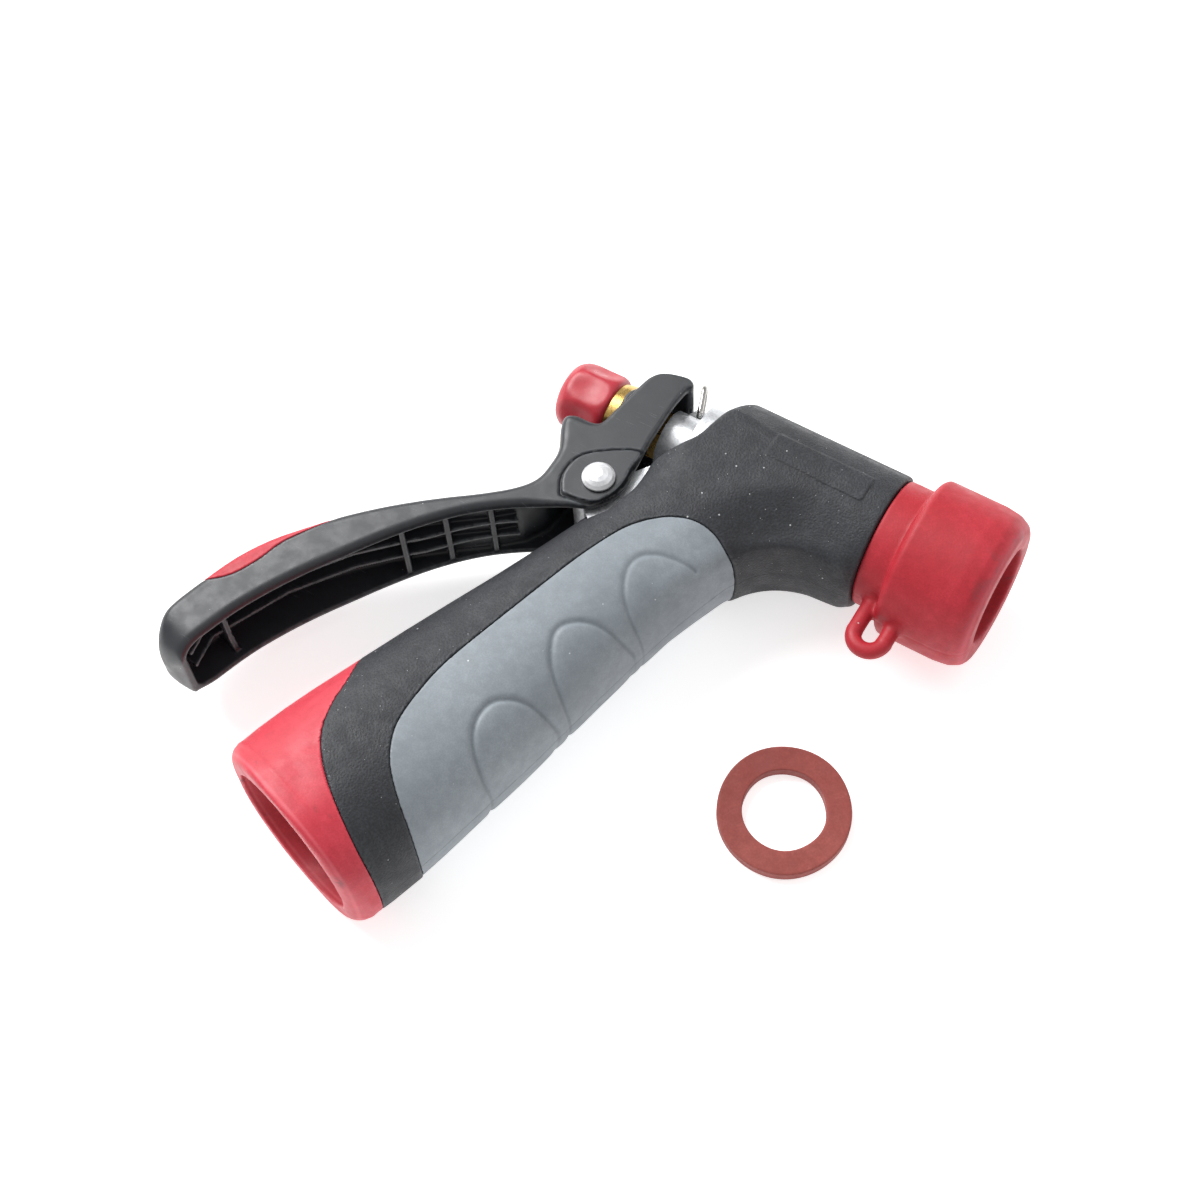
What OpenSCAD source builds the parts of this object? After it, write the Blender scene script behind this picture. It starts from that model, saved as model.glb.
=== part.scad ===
// Pistol-grip water nozzle with a rear squeeze lever, lying on its side,
// and a spare hose washer lying beside it. Millimetres, +Z up, z = 0 is the
// surface that it lies on. The nozzle is designed in its own straight frame
// (spray axis along X, mid-plane at z = 0) and then laid down by lie().

/* [Barrel] */
// Outer diameter of the rubber-covered barrel
barrel_d = 26.8; // [25.4:0.1:28]
// Front end of the barrel cover, behind the nose bumper
barrel_front = -15.5; // [-17:0.1:-15]
// Outer diameter of the metal barrel under the rubber
core_d = 21; // [20:0.1:22]
// Diameter of the metal neck that the gland nut screws into
neck_d = 12; // [11:0.1:12.6]
// Rear end of the metal neck
neck_rear = -62.8; // [-63.2:0.1:-62]

/* [Nose bumper] */
// Outer diameter of the bumper collar
collar_d = 32; // [30:0.1:33]
// Outer diameter of the bumper neck
bumper_neck_d = 25.6; // [24:0.1:26]
// Diameter of the front opening
outlet_d = 19.5; // [18.5:0.1:20]
// Front face of the bumper
nose_x = 8.8; // [8:0.1:9.4]
// Thickness of the hanging loop strand
loop_d = 3.2; // [2.6:0.1:3.4]

/* [Handle] */
// Lean of the handle away from square to the barrel, in degrees
handle_lean = 18; // [17:0.1:19]
// Thickness of the grip across its sides
grip_t = 35.6; // [34.6:0.1:36.4]
// Thickness of the soft finger panel and of the cap's tongue
skin_t = 1.8; // [1.4:0.1:2.2]

/* [Inlet] */
// Wall diameter of the hose thread, at its pitch line
thread_d = 26.4; // [25.8:0.1:27]
// Length of the threaded wall
thread_len = 12; // [10:0.5:13]
// Diameter of the mouth in the cap
mouth_d = 29.6; // [29:0.1:30]

/* [Lever] */
// Width over the lever's side flanges
lever_w = 19.5; // [19:0.1:20]
// Thickness of the flanges and of the back web
lever_t = 2; // [1.8:0.1:2.2]
// Diameter of the rivet that the lever turns on
pin_d = 4.5; // [4:0.1:4.8]
// Radial running clearance round the rivet
pin_gap = 0.05; // [0.03:0.01:0.08]
// Diameter of the rivet heads
rivet_d = 6.4; // [6:0.1:7]

/* [Valve] */
// Diameter of the valve stem
stem_d = 5.2; // [4.8:0.1:5.4]
// Radial clearance round the stem
stem_gap = 0.06; // [0.04:0.01:0.08]
// Bore of the barrel that the plug slides in
bore_d = 13.6; // [13.2:0.1:14]
// Opening of the valve seat
orifice_d = 7; // [6:0.1:7.6]
// Wire of the return spring
spring_wire = 1; // [0.8:0.1:1.1]

/* [Knob] */
// Outer diameter of the flow knob
knob_d = 14.6; // [13.8:0.1:15]
// Number of finger flutes round the knob
knob_flutes = 7; // [6:1:8]

/* [Hose washer] */
// Outer diameter of the washer
washer_d = 25.4; // [25:0.1:25.8]
// Hole of the washer
washer_hole_d = 15.9; // [15:0.1:16.6]
// Thickness of the washer
washer_t = 3.2; // [2.8:0.1:3.4]

/* [Hidden] */
// How the nozzle lies: roll and pitch, and the place of its own origin
lie_roll = -3.61;
lie_pitch = -3.39;
lie_at = [56.35, 48.53, 16.47];
// Where the washer lies
washer_at = [49.25, -3.85];

inlet_at = [-78.2, -107.5];
pivot = [-66.3, -19.9];
ear = [-59.6, 6.9];
hw = lever_w / 2;
hi = hw - lever_t;
core_r = core_d / 2;
socket_r = 15.2;
tube_r = 11.5;

// Radius of the grip against distance from the inlet end
grip_prof = [[0, 18.3], [0.6, 19], [2, 19.4], [8, 19.6], [14, 19.6], [20, 19.3], [30, 18.5],
             [40, 17.7], [50, 16.7], [60, 15.6], [70, 14.7], [80, 14], [90, 13.8], [112, 13.4]];
// Half thickness of the grip against distance from the inlet end
grip_half = [[-5, 0], [0, 0], [8, 0.1], [20, 0.8], [36, 1.9], [60, 3.4], [85, 4.3], [130, 4.4]];

// Side outline of the lever, from the tip up its back, round the knob
// saddle and the hood, and down its open side
lever_side = [
  [-113.5, -90.4], [-117.5, -90.9], [-119.8, -90], [-121.3, -86.6], [-121.6, -82.5], [-119.6, -75.3],
  [-117, -67.8], [-113.5, -61.4], [-109.2, -55.8], [-104.8, -50.6], [-100, -45.7], [-95, -41.2],
  [-89.8, -37], [-84.5, -33], [-79.5, -28.6], [-77, -24.9], [-76.6, -20.6], [-77, -17.2],
  [-79.2, -12.9], [-79.8, -10.2], [-77.6, -8.9], [-74.3, -8.9], [-72.7, -8], [-71.9, -3.7],
  [-70.7, 2.5], [-69.8, 5.6], [-67.8, 7.7], [-63.5, 8.9], [-61.7, 8.3], [-61.4, 7.2], [-62, 6.5],
  [-62.5, 2.3], [-62.5, -2.2], [-62.3, -7.2], [-62, -11], [-61.6, -15], [-61.2, -18.4], [-62.2, -22.1],
  [-64.8, -25.5], [-69.4, -27.8], [-77, -32.4], [-82.4, -36.4], [-87.2, -41], [-91.7, -46.3],
  [-95.8, -52], [-99.7, -58], [-103.5, -64], [-107, -70.3], [-110.2, -77.2], [-112.7, -84.6],
  [-113.8, -88.6]];

// The hollow between the flanges, open at the front and below
lever_hollow = [
  [-110.6, -89.6], [-118.4, -87.4], [-119.3, -84.5], [-119.5, -82], [-117.6, -75.8], [-115, -68.6], [-111.8, -62.6],
  [-107.6, -57], [-103.3, -52], [-98.6, -47.2], [-93.7, -42.8], [-88.5, -38.6], [-83.2, -34.6],
  [-78, -30], [-75.2, -25.5], [-74.6, -20.6], [-74.8, -12], [-72, -10.9], [-70.2, -9], [-69.9, -4],
  [-68.7, 2], [-68, 4.6], [-66.6, 6.4], [-63.5, 6.9], [-56, 6.6], [-56, -24], [-64, -34], [-78, -42],
  [-88, -54], [-98, -70], [-106, -86]];

// The stretch of the lever's back that carries the soft pad
pad_zone = [
  [-126, -78.6], [-119, -75], [-115.1, -71.5], [-112.5, -66.1], [-110.7, -60.7], [-105.2, -51.3],
  [-104.2, -46], [-112, -46], [-126, -66]];

// ---- frames ----
// Lays the straight nozzle down on its side
module lie() translate(lie_at) rotate([lie_roll, lie_pitch, 0]) children();

// Local z runs down the handle and out of the inlet, local x towards the fingers
module on_handle() translate([inlet_at[0], inlet_at[1], 0]) rotate([0, 0, -handle_lean]) rotate([90, 0, 0]) children();

// A cylinder along the spray axis from x0 to x1
module rod(r, x0, x1, n = 64) translate([x0, 0, 0]) rotate([0, 90, 0]) cylinder(r = r, h = x1 - x0, $fn = n);

// A turned shape on the spray axis, from [x, r] points
module turned(pts) rotate([0, 90, 0]) rotate_extrude($fn = 96) polygon([for (p = pts) [p[1], p[0]]]);

// A plate cut from a side outline, between two heights
module plate(pts, z0, z1) translate([0, 0, z0]) linear_extrude(height = z1 - z0) polygon(pts);

// A pair of side plates, one on each side of the mid-plane
module plates(pts, z0, z1) { plate(pts, z0, z1); plate(pts, -z1, -z0); }

// ---- shared zones ----
// The whole grip and barrel cover, drawn in by d
module grip_outer(d) intersection() {
  union() {
    on_handle() rotate_extrude($fn = 96)
      polygon(concat([[0, -112], [0, -d]], [for (p = grip_prof) [p[1] - d, min(-p[0], -d)]]));
    intersection() {
      turned([[-64 + d, 0], [-64 + d, 6.6], [-61 + d, 10.2], [-58 + d, 12.3 - d / 2], [-55, barrel_d / 2 - 0.3 - d],
              [-52.5, barrel_d / 2 - d], [barrel_front, barrel_d / 2 - d], [barrel_front, 0]]);
      plate([[-54.6 + d, 15], [-62.2 + d, -10], [-60, -16], [-14, -16], [-14, 15]], -16, 16);
    }
    // the web of rubber in the crook between barrel and handle
    difference() {
      plate([[-50, -4], [-18, -4], [-18, -12.6 + d], [-24, -13.6 + d], [-38, -22], [-44, -33]], -9 + d, 9 - d);
      translate([-22.4, -29.2, -20]) cylinder(r = 16 + d, h = 40, $fn = 64);
    }
  }
  on_handle() translate([-80, 0, 0]) rotate([90, 0, 90]) linear_extrude(height = 160)
    polygon(concat([for (p = grip_half) [grip_t / 2 - p[1] - d, -p[0]]],
                   [for (i = [len(grip_half) - 1 : -1 : 0]) [-grip_t / 2 + grip_half[i][1] + d, -grip_half[i][0]]]));
}

// The side outline of the finger panel
module panel_zone() plate([
  [-26, -20], [-35.2, -22], [-40.9, -20.3], [-45.4, -20.4], [-50.3, -22.6], [-55.1, -27.5],
  [-58.5, -34.8], [-61.2, -42.9], [-64.8, -55.7], [-68.1, -68.5], [-69, -76.4], [-68.8, -83.6],
  [-66.8, -88.9], [-63.9, -92.7], [-58.5, -97.3], [-49.3, -103], [-30, -106], [-10, -60], [-16, -24]],
  -24, 24);

// The side outline of the inlet cap, with its tongue up the back
module cap_zone() plate([
  [-104, -60], [-92, -66], [-87.3, -69.5], [-84.5, -74], [-82.3, -80], [-81.2, -86], [-79.4, -91.4],
  [-76.3, -95.9], [-71, -100.7], [-63, -106], [-56, -109.3], [-40, -117], [-60, -135], [-130, -110]],
  -24, 24);

// The inside of the grip that the metal fills
module core_space() {
  on_handle() {
    translate([0, 0, -112]) cylinder(r = tube_r, h = 93, $fn = 96);
    translate([0, 0, -20.4]) cylinder(r = socket_r + 1.4, h = 18.4, $fn = 96);
    translate([0, 0, -3]) cylinder(r = mouth_d / 2, h = 6, $fn = 96);
  }
  rod(core_r, -56, barrel_front + 1, 96);
  rod(neck_d / 2, -66, -50, 96);
  plate(lug_side, -7.2, 7.2);
  translate([pivot[0], pivot[1], -7.2]) cylinder(r = 5.4, h = 14.4, $fn = 64);
}

lug_side = [[-63.4, -15.4], [-58, -8], [-48, -6], [-50, -34], [-60, -31], [-66.6, -25.3], [-71, -22.6], [-69, -16]];

// Room for the lever's flanges beside the grip
module lever_room() plates([
  [-78, -38], [-66.6, -30], [-61.2, -25.4], [-59.4, -18.4], [-60, -8], [-60.4, 16], [-78, 16]], 7.3, 15);

// ---- fixed parts ----
module body_casting() color([0.78, 0.79, 0.8]) lie() difference() {
  union() {
    on_handle() {
      translate([0, 0, -112]) cylinder(r = tube_r, h = 93, $fn = 96);
      translate([0, 0, -20.4]) cylinder(r = socket_r + 1.4, h = 18.4, $fn = 96);
    }
    rod(core_r, -56, 2, 96);
      rod(neck_d / 2, neck_rear, -50, 96);
    plate(lug_side, -7.2, 7.2);
    translate([pivot[0], pivot[1], -7.2]) cylinder(r = 5.4, h = 14.4, $fn = 64);
    // ear for the wire clip
    plate([[-62, 3], [-61.6, 6.2], [-60.8, 8], [-59.4, 8.4], [-58.2, 7.6], [-57, 5], [-57, 3]], -1.3, 1.3);
  }
  // socket, waterway, valve bore, seat bore
  on_handle() {
    translate([0, 0, -17.2]) cylinder(r = socket_r, h = 20, $fn = 96);
    translate([0, 0, -106]) cylinder(r = 8, h = 100, $fn = 64);
  }
  rod(bore_d / 2, -48, -5.9, 96);
  rod(8.2, -6, 3, 96);
  // gland: stem hole and packing bore
  rod(stem_d / 2 + stem_gap, -64, -47, 64);
  rod(4.5, -64, -57, 64);
  // rivet hole and clip hole
  translate([pivot[0], pivot[1], -8]) cylinder(d = pin_d, h = 16, $fn = 64);
  translate([ear[0], ear[1], -3]) cylinder(r = 0.68, h = 6, $fn = 32);
}

module inlet_insert() color([0.8, 0.62, 0.28]) lie() on_handle() rotate_extrude($fn = 96) polygon([
  [9, -17.2], [socket_r, -17.2], [socket_r, -2.4], [14.2, -2.4], [thread_d / 2, -3.2],
  [thread_d / 2, -3.2 - thread_len], [9, -3.2 - thread_len]]);

module grip_overmould() color([0.2, 0.2, 0.21]) lie() difference() {
  union() {
    difference() { grip_outer(0); panel_zone(); cap_zone(); }
    difference() {
      grip_outer(skin_t);
      intersection() {
        cap_zone();
        on_handle() translate([-30, -30, -24]) cube([60, 60, 40]);
      }
    }
  }
  core_space();
  lever_room();
}

module finger_panel() color([0.55, 0.58, 0.62]) lie() difference() {
  intersection() { grip_outer(0); panel_zone(); }
  grip_outer(skin_t);
}

module inlet_cap() color([0.72, 0.13, 0.15]) lie() difference() {
  intersection() { grip_outer(0); cap_zone(); }
  intersection() {
    grip_outer(skin_t);
    on_handle() translate([-30, -30, -70]) cube([60, 60, 46]);
  }
  on_handle() {
    translate([0, 0, -30]) cylinder(r = socket_r + 1.4, h = 28, $fn = 96);
    translate([0, 0, -3]) cylinder(r = mouth_d / 2, h = 6, $fn = 96);
  }
}

module nose_bumper() color([0.74, 0.14, 0.16]) lie() difference() {
  turned([[-15.5, core_r], [-15.5, bumper_neck_d / 2], [-9.9, bumper_neck_d / 2], [-9.5, collar_d / 2 - 0.9],
          [-8.6, collar_d / 2], [3, collar_d / 2], [6, collar_d / 2 - 0.4], [8, collar_d / 2 - 1.4],
          [nose_x, collar_d / 2 - 2.6], [nose_x, outlet_d / 2], [2, outlet_d / 2], [2, core_r]]);
}

module hang_loop() color([0.74, 0.14, 0.16]) lie() difference() {
  union() {
    for (x = [-11.2, -5.2]) translate([x, -9, 0]) rotate([90, 0, 0]) cylinder(d = loop_d, h = 10.4, $fn = 32);
    intersection() {
      translate([-8.2, -19.4, 0]) rotate_extrude($fn = 48) translate([3, 0]) circle(d = loop_d, $fn = 32);
      translate([-16, -26, -4]) cube([16, 6.6, 8]);
    }
  }
  rod(bumper_neck_d / 2, -18, -9.9, 96);
  rod(collar_d / 2, -9.9, 2, 96);
  rod(barrel_d / 2, -20, barrel_front, 96);
}

module valve_seat() color([0.8, 0.62, 0.28]) lie() turned([
  [-6, 4.6], [-6, 8.2], [1.9, 8.2], [1.9, 5], [-2.6, orifice_d / 2], [-4.8, orifice_d / 2]]);

module packing_ring() color([0.9, 0.9, 0.86]) lie() turned([
  [-60, stem_d / 2 + stem_gap], [-60, 4.5], [-57, 4.5], [-57, stem_d / 2 + stem_gap]]);

module packing_nut() color([0.83, 0.66, 0.3]) lie() difference() {
  union() {
    rod(4.5, neck_rear - 0.5, -60.1, 64);
    translate([-64.6, 0, 0]) rotate([0, 90, 0]) rotate([0, 0, 30]) cylinder(r = 5.6, h = 1.8, $fn = 6);
    rod(3.4, -66, -64.2, 64);
  }
  rod(stem_d / 2 + stem_gap, -67, -60, 64);
}

module pivot_rivet() color([0.86, 0.87, 0.88]) lie() translate([pivot[0], pivot[1], 0]) {
  cylinder(d = pin_d, h = 2 * hw + 1.6, center = true, $fn = 64);
  for (m = [0, 1]) mirror([0, 0, m]) translate([0, 0, hw + 0.75]) rotate_extrude($fn = 64)
    polygon([[0, 0], [rivet_d / 2, 0], [rivet_d / 2, 0.4], [2.7, 1], [1.9, 1.5], [0.9, 1.75], [0, 1.8]]);
}

// ---- lever ----
// The pad's own skin on the back and sides of the lever
module pad_shape() difference() {
  intersection() { plate(lever_side, -hw, hw); plate(pad_zone, -hw - 1, hw + 1); }
  translate([1, -0.6, 0]) plate(concat(lever_side, []), -hw + 0.9, hw - 0.9);
}

// What rounds the two corners of the lever's tip
module tip_corners(r, zc) for (m = [0, 1]) mirror([0, 0, m])
  translate([-117.6, -91.2, 0]) rotate([0, 0, 74.9]) difference() {
    translate([-3, -14, zc]) cube([10.5, 26, 14]);
    translate([7.5, -15, zc]) rotate([-90, 0, 0]) cylinder(r = r, h = 28, $fn = 64);
  }

module lever() color([0.17, 0.17, 0.18]) lie() difference() {
  union() {
    difference() {
      plate(lever_side, -hw, hw);
      difference() {
        plate(lever_hollow, -hi, hi);
        tip_corners(5.5, hw - 7.44);
      }
      tip_corners(7.5, hw - 7.44);
    }
    // raised boss plates round the rivet
    plates([[-70.8, -26], [-72.6, -22.5], [-72.3, -18], [-69.3, -14.6], [-62.6, -10.8], [-62.1, -15],
            [-61.8, -18.4], [-62.6, -22], [-65, -25]], hw - 0.1, hw + 0.55);
    // crowned pads that push on the thrust washer
    for (z = [-hi, 3.6]) translate([-68.6, 0, z]) cylinder(r = 3.9, h = hi - 3.6, $fn = 64);
    // cross ribs and long ribs in the hollow
    for (p = [[-117.9, -76.8, 73.8], [-96, -44.7, 43], [-89.2, -39.1, 39.5], [-82.2, -33.8, 38]])
      translate([p[0], p[1], 0]) rotate([0, 0, p[2]]) translate([-0.6, -5.4, -hi - 0.3]) cube([1.2, 6, 2 * hi + 0.6]);
    intersection() {
      translate([1.2, -1.6, 0]) plate(lever_side, -hi, hi);
      union() for (z = [-2.8, 2]) difference() {
        plate([[-121, -86], [-119, -74], [-112, -61], [-104, -51], [-96, -43], [-80, -30], [-77, -32], [-93, -46],
               [-101, -54], [-109, -65], [-116, -80], [-115, -87]], z, z + 0.9);
      }
    }
  }
  pad_shape();
  // slot for the stem
  translate([-78, -4.6, -3.4]) cube([14, 8.6, 6.8]);
  // rivet hole
  translate([pivot[0], pivot[1], -20]) cylinder(r = pin_d / 2 + pin_gap, h = 40, $fn = 64);
}

module lever_pad() color([0.75, 0.16, 0.18]) lie() pad_shape();

// ---- valve stem ----
module valve_stem() color([0.85, 0.86, 0.87]) lie() rod(stem_d / 2, -84.4, -13.5);

module spring_collar() color([0.75, 0.76, 0.78]) lie() difference() {
  rod(5.8, -17.6, -16.2);
  rod(stem_d / 2, -18, -16);
}

module valve_plug() color([0.8, 0.62, 0.28]) lie() difference() {
  turned([[-16.2, 0], [-16.2, 5.2], [-15, 6.2], [-8.6, 6.2], [-8.6, 0]]);
  rod(stem_d / 2, -17, -13.5);
}

module plug_seal() color([0.1, 0.1, 0.1]) lie() difference() {
  rod(6, -8.6, -6.2);
  rod(1.5, -9, -6);
}

module seal_screw() color([0.82, 0.64, 0.3]) lie() {
  rod(1.5, -8.6, -6.2, 48);
  turned([[-6.2, 0], [-6.2, 2.6], [-5.4, 2.6], [-4.6, 1.8], [-4.6, 0]]);
}

// Round wire spring coil, as one swept tube
coil_n = 8;
coil_steps = 20;
function coil_pt(i, j) = let(
  a = 360 * i / coil_steps, x = -47.4 + (29.2) * i / (coil_n * coil_steps),
  b = 360 * j / 8, rr = 4.6 + spring_wire / 2 * cos(b))
  [x + spring_wire / 2 * sin(b), rr * cos(a), rr * sin(a)];
module valve_spring() color([0.7, 0.71, 0.73]) lie() polyhedron(
  points = [for (i = [0 : coil_n * coil_steps]) for (j = [0 : 7]) coil_pt(i, j)],
  faces = concat(
    [[for (j = [0 : 7]) j]],
    [for (i = [0 : coil_n * coil_steps - 1]) for (j = [0 : 7])
      [i * 8 + j, (i + 1) * 8 + j, (i + 1) * 8 + (j + 1) % 8, i * 8 + (j + 1) % 8]],
    [[for (j = [0 : 7]) coil_n * coil_steps * 8 + 7 - j]]));

// ---- flow knob ----
module thrust_washer() color([0.8, 0.62, 0.28]) lie() difference() {
  rod(6.6, -73.8, -72.7);
  rod(stem_d / 2 + stem_gap, -75, -72);
}

module knob_insert() color([0.83, 0.65, 0.3]) lie() difference() {
  union() { rod(4.4, -83.4, -74.6); rod(6.3, -74.8, -73.85); }
  rod(stem_d / 2 + stem_gap, -84, -73);
}

module flow_knob() color([0.76, 0.15, 0.17]) lie() difference() {
  turned([[-86, 0], [-86, 4.8], [-85.2, 6.2], [-83.8, knob_d / 2 - 0.3], [-81.6, knob_d / 2], [-76.4, knob_d / 2],
          [-75.4, knob_d / 2 - 0.2], [-74.8, knob_d / 2 - 0.7], [-74.8, 0]]);
  rod(4.4, -83.4, -74);
  rod(stem_d / 2 + stem_gap + 0.2, -84.7, -83);
  for (i = [0 : knob_flutes - 1]) rotate([360 / knob_flutes * i + 12, 0, 0]) translate([-80.4, 0, 12.7])
    sphere(r = 6.4, $fn = 32);
}

// ---- wire clip ----
// Centre line of the clip's legs, above the ear
clip_lean = 21;
module hold_clip() color([0.8, 0.81, 0.82]) lie() translate([ear[0], ear[1], 0]) rotate([0, 0, clip_lean]) {
  translate([0, 0, -2.7]) cylinder(r = 0.6, h = 5.4, $fn = 32);
  for (z = [-2.1, 2.1]) translate([0, 0, z]) {
    sphere(r = 0.6, $fn = 32);
    rotate([-90, 0, 0]) cylinder(r = 0.6, h = 5.2, $fn = 32);
  }
  translate([0, 5.2, 0]) rotate([0, 90, 0]) intersection() {
    rotate_extrude($fn = 48) translate([2.1, 0]) circle(r = 0.6, $fn = 32);
    translate([-4, 0, -2]) cube([8, 4, 4]);
  }
}

// ---- loose washer ----
module hose_washer() color([0.6, 0.3, 0.28]) translate([washer_at[0], washer_at[1], 0]) rotate_extrude($fn = 128)
  polygon([[washer_hole_d / 2, 0.3], [washer_hole_d / 2 + 0.3, 0], [washer_d / 2 - 0.4, 0], [washer_d / 2, 0.4],
           [washer_d / 2, washer_t - 0.4], [washer_d / 2 - 0.4, washer_t], [washer_hole_d / 2 + 0.3, washer_t],
           [washer_hole_d / 2, washer_t - 0.3]]);

body_casting();
inlet_insert();
grip_overmould();
finger_panel();
inlet_cap();
nose_bumper();
hang_loop();
valve_seat();
packing_ring();
packing_nut();
pivot_rivet();
lever();
lever_pad();
valve_stem();
spring_collar();
valve_plug();
plug_seal();
seal_screw();
valve_spring();
thrust_washer();
knob_insert();
flow_knob();
hold_clip();
hose_washer();
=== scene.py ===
# Looks of a pistol-grip water nozzle lying on its side, with a spare hose washer.
# Shapes are built as distance fields in the nozzle's own straight frame (millimetres,
# spray axis along X, mid-plane at z = 0), turned into meshes, and laid down into the row frame.
import math

import bpy
import numpy as np
from mathutils import Matrix, Vector


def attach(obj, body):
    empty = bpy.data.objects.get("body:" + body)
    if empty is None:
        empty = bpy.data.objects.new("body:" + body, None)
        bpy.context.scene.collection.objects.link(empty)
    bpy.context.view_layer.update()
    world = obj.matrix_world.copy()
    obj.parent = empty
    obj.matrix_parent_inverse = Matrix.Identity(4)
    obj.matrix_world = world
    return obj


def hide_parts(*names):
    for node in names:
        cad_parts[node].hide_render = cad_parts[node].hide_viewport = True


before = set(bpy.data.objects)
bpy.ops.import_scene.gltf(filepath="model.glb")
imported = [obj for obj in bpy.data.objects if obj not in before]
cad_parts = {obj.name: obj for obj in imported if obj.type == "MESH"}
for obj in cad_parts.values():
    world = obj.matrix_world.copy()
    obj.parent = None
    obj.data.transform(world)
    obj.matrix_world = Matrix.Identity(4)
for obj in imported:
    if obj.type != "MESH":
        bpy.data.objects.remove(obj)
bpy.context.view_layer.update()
F4 = np.float32

# ------------------------------------------------------------------ frames
LIE_ROLL, LIE_PITCH, LIE_AT = math.radians(-3.61), math.radians(-3.39), np.array([56.35, 48.53, 16.47])
WASHER_AT = (49.25, -3.85)
_cr, _sr, _cp, _sp = math.cos(LIE_ROLL), math.sin(LIE_ROLL), math.cos(LIE_PITCH), math.sin(LIE_PITCH)
RX = np.array([[1, 0, 0], [0, _cr, -_sr], [0, _sr, _cr]])
RY = np.array([[_cp, 0, _sp], [0, 1, 0], [-_sp, 0, _cp]])
ROT = RY @ RX

INLET = (-78.2, -107.5)
LEAN = math.radians(18)
DX, DY = -math.sin(LEAN), -math.cos(LEAN)
PX, PY = math.cos(LEAN), -math.sin(LEAN)
PIVOT = (-66.3, -19.9)

# ------------------------------------------------------------------ distance field tools
def smin(a, b, k):
    h = np.clip(0.5 + 0.5 * (b - a) / k, 0, 1)
    return b + (a - b) * h - k * h * (1 - h)


def smax(a, b, k):
    return -smin(-a, -b, k)


def sstep(a, b, v):
    t = np.clip((v - a) / (b - a), 0, 1)
    return t * t * (3 - 2 * t)


def poly_sd(pts, X, Y):
    P = np.array(pts, float)
    Q = np.roll(P, -1, 0)
    best = np.full(X.shape, 1e9)
    inside = np.zeros(X.shape, bool)
    for (ax, ay), (bx, by) in zip(P, Q):
        ex, ey = bx - ax, by - ay
        wx, wy = X - ax, Y - ay
        t = np.clip((wx * ex + wy * ey) / (ex * ex + ey * ey + 1e-12), 0, 1)
        dx, dy = wx - ex * t, wy - ey * t
        np.minimum(best, dx * dx + dy * dy, out=best)
        cond = (ay > Y) != (by > Y)
        if ey != 0:
            inside ^= cond & (X < ex * (Y - ay) / ey + ax)
    d = np.sqrt(best)
    return np.where(inside, -d, d)


def line_sd(pts, X, Y):
    best = np.full(X.shape, 1e9)
    for (ax, ay), (bx, by) in zip(pts[:-1], pts[1:]):
        ex, ey = bx - ax, by - ay
        wx, wy = X - ax, Y - ay
        t = np.clip((wx * ex + wy * ey) / (ex * ex + ey * ey + 1e-12), 0, 1)
        dx, dy = wx - ex * t, wy - ey * t
        np.minimum(best, dx * dx + dy * dy, out=best)
    return np.sqrt(best)


class Flat:
    """A signed distance in a plane, sampled on a fine grid, with its corners softened by blur (mm)."""

    def __init__(self, pts, blur=0.3, margin=8, step=0.2, open_line=False, values=None):
        P = np.array(pts, float)
        self.lo = P.min(0) - margin
        n = np.ceil((P.max(0) + margin - self.lo) / step).astype(int) + 1
        X, Y = np.meshgrid(self.lo[0] + step * np.arange(n[0]), self.lo[1] + step * np.arange(n[1]), indexing="ij")
        V = line_sd(P, X, Y) if open_line else poly_sd(P, X, Y)
        if blur > 0:
            r = max(1, int(3 * blur / step))
            w = np.exp(-0.5 * (np.arange(-r, r + 1) * step / blur) ** 2)
            w /= w.sum()
            for axis in (0, 1):
                pad = [(0, 0), (0, 0)]
                pad[axis] = (r, r)
                W = np.pad(V, pad, mode="edge")
                V = sum(w[i] * np.take(W, range(i, i + V.shape[axis]), axis) for i in range(2 * r + 1))
        self.V = V.astype(F4)
        self.step = step

    def __call__(self, x, y):
        u = (x - self.lo[0]) / self.step
        v = (y - self.lo[1]) / self.step
        u = np.clip(u, 0, self.V.shape[0] - 1.001)
        v = np.clip(v, 0, self.V.shape[1] - 1.001)
        i, j = u.astype(np.int32), v.astype(np.int32)
        a, b = u - i, v - j
        V = self.V
        return (V[i, j] * (1 - a) + V[i + 1, j] * a) * (1 - b) + (V[i, j + 1] * (1 - a) + V[i + 1, j + 1] * a) * b


def catmull(pts, n=6):
    P = np.array(pts, float)
    E = np.vstack([2 * P[0] - P[1], P, 2 * P[-1] - P[-2]])
    out = []
    for i in range(1, len(E) - 2):
        for k in range(n):
            t = k / n
            p0, p1, p2, p3 = E[i - 1], E[i], E[i + 1], E[i + 2]
            out.append(0.5 * (2 * p1 + (p2 - p0) * t + (2 * p0 - 5 * p1 + 4 * p2 - p3) * t * t + (3 * p1 - p0 - 3 * p2 + p3) * t ** 3))
    out.append(E[-2])
    return np.array(out)


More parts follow.
